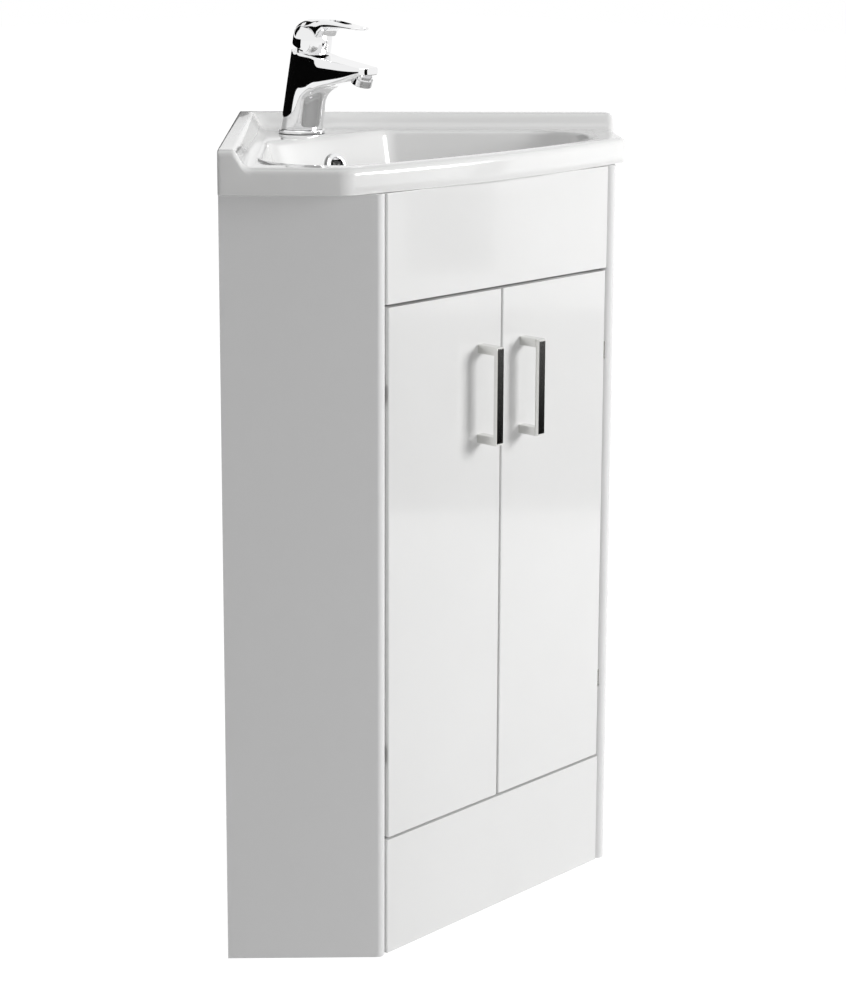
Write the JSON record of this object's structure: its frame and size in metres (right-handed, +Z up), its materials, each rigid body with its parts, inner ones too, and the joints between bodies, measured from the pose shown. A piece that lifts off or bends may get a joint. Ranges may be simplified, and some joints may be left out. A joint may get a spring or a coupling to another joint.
{
  "type": "corner vanity unit",
  "caption": "Corner cabinet with hinged front doors under a ceramic basin with raised wall edges, a single-lever mixer and a click waste.",
  "frame": {"origin": "on the floor, in the middle of the unit's overall box", "axes": "+Z up, the doors face -Y, the wall corner is at +Y, +X is to the right as seen from the front"},
  "size_m": [0.6082, 0.4362, 0.9605],
  "materials": {
    "lacquered_panel": "satin white lacquer on board",
    "lacquered_front": "gloss white lacquer on board",
    "coated_board": "matt white coated board",
    "dowel_wood": "plain beech",
    "white_plastic": "moulded nylon",
    "handle_chrome": "polished",
    "polished_chrome": "polished",
    "screw_steel": "zinc plated",
    "hinge_steel": "nickel plated",
    "clamp_steel": "zinc plated",
    "stem_brass": "turned",
    "bumper_pad": "soft clear pad",
    "seal_rubber": "matt",
    "cartridge_plastic": "moulded",
    "glazed_ceramic": "gloss white glaze"
  },
  "bodies": {
    "cabinet": {"left_side_panel": "lacquered_panel", "left_upper_rail": "coated_board", "left_lower_rail": "coated_board", "left_fascia_bracket": "white_plastic", "left_plinth_bracket": "white_plastic", "left_hinge_pins": "screw_steel", "left_hinge_plates": "hinge_steel", "right_side_panel": "lacquered_panel", "right_upper_rail": "coated_board", "right_lower_rail": "coated_board", "right_fascia_bracket": "white_plastic", "right_plinth_bracket": "white_plastic", "right_hinge_pins": "screw_steel", "right_hinge_plates": "hinge_steel", "plinth": "lacquered_front", "fascia": "lacquered_front", "base_panel": "coated_board", "stretcher": "coated_board", "corner_post": "coated_board", "dowels": "dowel_wood", "bracket_screws": "screw_steel", "plate_screws": "screw_steel", "tap_stud": "screw_steel", "tap_stud_nut": "screw_steel", "basin": "glazed_ceramic", "overflow_ring": "polished_chrome", "waste_body": "polished_chrome", "waste_nut": "polished_chrome", "tap_foot_ring": "polished_chrome", "tap_body": "polished_chrome", "tap_collar": "polished_chrome", "tap_aerator": "polished_chrome", "waste_seal": "seal_rubber", "waste_washer": "seal_rubber", "tap_gasket": "seal_rubber", "tap_cartridge": "cartridge_plastic", "tap_clamp_washers": "clamp_steel"},
    "left_door_leaf": {"left_door": "lacquered_front", "left_handle": "handle_chrome", "left_handle_screws": "screw_steel", "left_bumpers": "bumper_pad", "left_upper_hinge_arm": "hinge_steel", "left_lower_hinge_arm": "hinge_steel", "left_upper_hinge_cup": "hinge_steel", "left_lower_hinge_cup": "hinge_steel", "left_hinge_screws": "screw_steel"},
    "right_door_leaf": {"right_door": "lacquered_front", "right_handle": "handle_chrome", "right_handle_screws": "screw_steel", "right_bumpers": "bumper_pad", "right_upper_hinge_arm": "hinge_steel", "right_lower_hinge_arm": "hinge_steel", "right_upper_hinge_cup": "hinge_steel", "right_lower_hinge_cup": "hinge_steel", "right_hinge_screws": "screw_steel"},
    "mixer_stem": {"tap_stem": "stem_brass"},
    "mixer_lever": {"tap_lever": "polished_chrome", "tap_lever_pin": "screw_steel", "tap_indicator": "polished_chrome"},
    "plug": {"waste_plug": "polished_chrome"}
  },
  "joints": [
    {"name": "left_door_hinge", "type": "hinge", "parent": "cabinet", "child": "left_door_leaf", "pos_m": [-0.18102, -0.18352, 0.4095], "axis": [0, 0, -1], "range_deg": [0, 105]},
    {"name": "right_door_hinge", "type": "hinge", "parent": "cabinet", "child": "right_door_leaf", "pos_m": [0.18102, -0.18352, 0.4095], "axis": [0, 0, 1], "range_deg": [0, 105]},
    {"name": "lever_turn", "type": "hinge", "parent": "cabinet", "child": "mixer_stem", "pos_m": [0, 0.09554, 0.93737], "axis": [0, -0.1736, 0.9848], "range_deg": [-45, 45]},
    {"name": "lever_lift", "type": "hinge", "parent": "mixer_stem", "child": "mixer_lever", "pos_m": [0, 0.09554, 0.93737], "axis": [-1, 0, 0], "range_deg": [0, 20]},
    {"name": "plug_click", "type": "slide", "parent": "cabinet", "child": "plug", "axis": [0, 0, 1], "range_m": [0, 0.008]}
  ]
}
